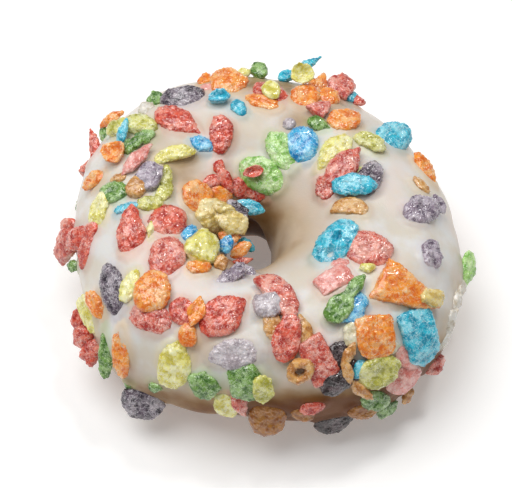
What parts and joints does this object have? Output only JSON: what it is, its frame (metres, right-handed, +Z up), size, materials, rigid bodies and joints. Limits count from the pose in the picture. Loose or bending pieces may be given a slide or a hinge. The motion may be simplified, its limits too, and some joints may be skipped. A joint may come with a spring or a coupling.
{
  "type": "frosted ring doughnut with puffed rice flakes",
  "caption": "Uneven fried dough ring with a cream icing shell over its top and sides, and coloured puffed rice flakes pressed into the icing.",
  "frame": {"origin": "the middle of the bounding box, on the plane the doughnut rests on", "axes": "+Z up along the hole; -Y towards the side that the picture shows lowest; +X to its right"},
  "size_m": [0.0918, 0.0894, 0.0351],
  "materials": {
    "dough": "matte fried crust",
    "icing": "set sugar icing, satin",
    "red_flakes": "sugared crisp, rough",
    "orange_flakes": "sugared crisp, rough",
    "yellow_flakes": "sugared crisp, rough",
    "green_flakes": "sugared crisp, rough",
    "blue_flakes": "sugared crisp, rough",
    "purple_flakes": "sugared crisp, rough"
  },
  "bodies": {
    "root": {"dough": "dough", "icing": "icing"}
  },
  "joints": []
}
